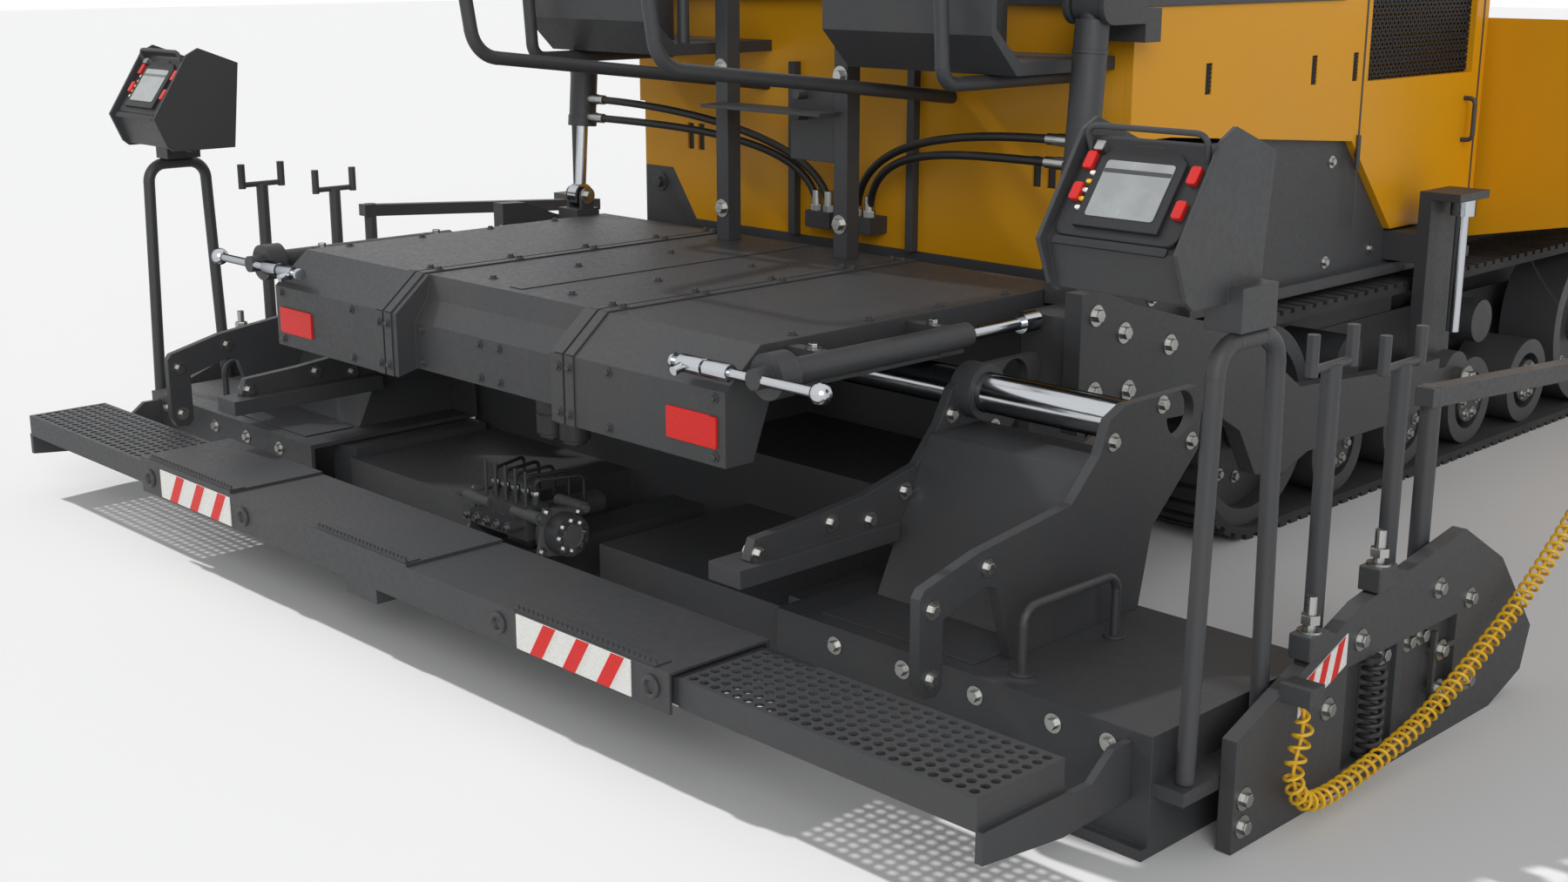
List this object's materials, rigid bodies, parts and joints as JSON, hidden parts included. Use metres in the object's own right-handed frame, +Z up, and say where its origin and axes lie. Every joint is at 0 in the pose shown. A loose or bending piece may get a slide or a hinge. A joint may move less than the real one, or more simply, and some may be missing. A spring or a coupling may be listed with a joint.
{
  "type": "tracked asphalt paver",
  "caption": "Tracked asphalt paver with tip-in hopper, folding wings, conveyors, augers and a towed screed with sliding extensions, end gates and control boxes.",
  "frame": {"origin": "middle of the bounding box at the ground", "axes": "+X to the machine's right, +Y towards the hopper, +Z up"},
  "size_m": [5.244, 7.1, 2.9693],
  "materials": {
    "body_yellow": "yellow-orange gloss machine paint",
    "charcoal": "near-black satin paint",
    "chrome_rod": "hard chrome on cylinder rods and slide tubes",
    "worn_steel": "steel polished by the mix",
    "engine_iron": "painted cast iron",
    "seat_vinyl": "black vinyl",
    "lamp_lens": "clear lamp lens",
    "track_rubber": "black rubber belt",
    "hose_rubber": "black hydraulic hose",
    "cord_yellow": "yellow coiled cable jacket"
  },
  "bodies": {
    "tractor": {"chassis": "charcoal", "cross_panels": "body_yellow", "side_panels": "body_yellow", "lift_hangers": "charcoal", "engine": "engine_iron", "grilles": "charcoal", "platform": "charcoal", "guard_rails": "charcoal", "stations": "charcoal", "consoles": "charcoal", "seats": "seat_vinyl", "exhaust": "worn_steel", "work_lamps": "lamp_lens", "track_left": "track_rubber", "track_right": "track_rubber", "track_wheels": "charcoal", "track_frames": "charcoal", "hopper_base": "charcoal", "conveyors": "worn_steel", "push_beam": "charcoal", "auger_carrier": "charcoal", "tow_guides": "charcoal", "tow_cylinders": "chrome_rod", "lift_hoses": "hose_rubber"},
    "hood": {"hood_lid": "body_yellow"},
    "screed": {"screed_frame": "charcoal", "screed_deck": "charcoal", "tow_arms": "charcoal", "walkway": "charcoal", "depth_cranks": "charcoal", "vibrator_drive": "charcoal", "centre_frame": "charcoal"},
    "wing_left": {"wing_left": "body_yellow"},
    "roller_left": {"push_roller_left": "worn_steel"},
    "auger_left": {"auger_left": "worn_steel"},
    "lift_barrel_left": {"lift_barrel_left": "charcoal"},
    "lift_rod_left": {"lift_rod_left": "chrome_rod"},
    "extension_left": {"ext_body_left": "charcoal", "ext_plates_left": "charcoal", "slide_tube_left": "chrome_rod", "side_step_left": "charcoal", "handrail_left": "charcoal", "control_box_left": "charcoal", "end_gate_left": "charcoal", "sensor_mast_left": "charcoal", "coil_cord_left": "cord_yellow"},
    "wing_right": {"wing_right": "body_yellow"},
    "roller_right": {"push_roller_right": "worn_steel"},
    "auger_right": {"auger_right": "worn_steel"},
    "lift_barrel_right": {"lift_barrel_right": "charcoal"},
    "lift_rod_right": {"lift_rod_right": "chrome_rod"},
    "extension_right": {"ext_body_right": "charcoal", "ext_plates_right": "charcoal", "slide_tube_right": "chrome_rod", "side_step_right": "charcoal", "handrail_right": "charcoal", "control_box_right": "charcoal", "end_gate_right": "charcoal", "sensor_mast_right": "charcoal", "coil_cord_right": "cord_yellow"}
  },
  "joints": [
    {"name": "hood_hinge", "type": "hinge", "parent": "tractor", "child": "hood", "pos_m": [0, 0.912, 2.276], "axis": [-1, 0, 0], "range_deg": [0, 60]},
    {"name": "screed_lift", "type": "hinge", "parent": "tractor", "child": "screed", "pos_m": [0, 0.37, 0.45], "axis": [-1, 0, 0], "range_deg": [0, 5]},
    {"name": "wing_left_fold", "type": "hinge", "parent": "tractor", "child": "wing_left", "pos_m": [-0.88, 1.95, 0.86], "axis": [0, 1, 0], "range_deg": [0, 60]},
    {"name": "push_roller_left_spin", "type": "hinge", "parent": "tractor", "child": "roller_left", "pos_m": [-0.435, 3.44, 0.5], "axis": [1, 0, 0], "continuous": true},
    {"name": "auger_left_spin", "type": "hinge", "parent": "tractor", "child": "auger_left", "pos_m": [-0.6, -1.425, 0.37], "axis": [1, 0, 0], "continuous": true},
    {"name": "extension_left_slide", "type": "slide", "parent": "screed", "child": "extension_left", "axis": [1, 0, 0], "range_m": [0, 0.9]},
    {"name": "lift_barrel_left_swing", "type": "hinge", "parent": "tractor", "child": "lift_barrel_left", "pos_m": [-1.2, -1.69, 1.86], "axis": [1, 0, 0], "range_deg": [-0.5, 5]},
    {"name": "lift_rod_left_slide", "type": "slide", "parent": "lift_barrel_left", "child": "lift_rod_left", "axis": [0, 0.0777, 0.997], "range_m": [-0.002, 0.19]},
    {"name": "wing_right_fold", "type": "hinge", "parent": "tractor", "child": "wing_right", "pos_m": [0.88, 1.95, 0.86], "axis": [0, -1, 0], "range_deg": [0, 60]},
    {"name": "push_roller_right_spin", "type": "hinge", "parent": "tractor", "child": "roller_right", "pos_m": [0.435, 3.44, 0.5], "axis": [1, 0, 0], "continuous": true},
    {"name": "auger_right_spin", "type": "hinge", "parent": "tractor", "child": "auger_right", "pos_m": [0.6, -1.425, 0.37], "axis": [1, 0, 0], "continuous": true},
    {"name": "extension_right_slide", "type": "slide", "parent": "screed", "child": "extension_right", "axis": [-1, 0, 0], "range_m": [0, 0.9]},
    {"name": "lift_barrel_right_swing", "type": "hinge", "parent": "tractor", "child": "lift_barrel_right", "pos_m": [1.2, -1.69, 1.86], "axis": [1, 0, 0], "range_deg": [-0.5, 5]},
    {"name": "lift_rod_right_slide", "type": "slide", "parent": "lift_barrel_right", "child": "lift_rod_right", "axis": [0, 0.0777, 0.997], "range_m": [-0.002, 0.19]}
  ],
  "couplings": [
    {"joint": "lift_barrel_left_swing", "follows": "screed_lift", "ratio": 0.9},
    {"joint": "lift_rod_left_slide", "follows": "screed_lift", "m_per_rad": 2.12},
    {"joint": "lift_barrel_right_swing", "follows": "screed_lift", "ratio": 0.9},
    {"joint": "lift_rod_right_slide", "follows": "screed_lift", "m_per_rad": 2.12}
  ]
}
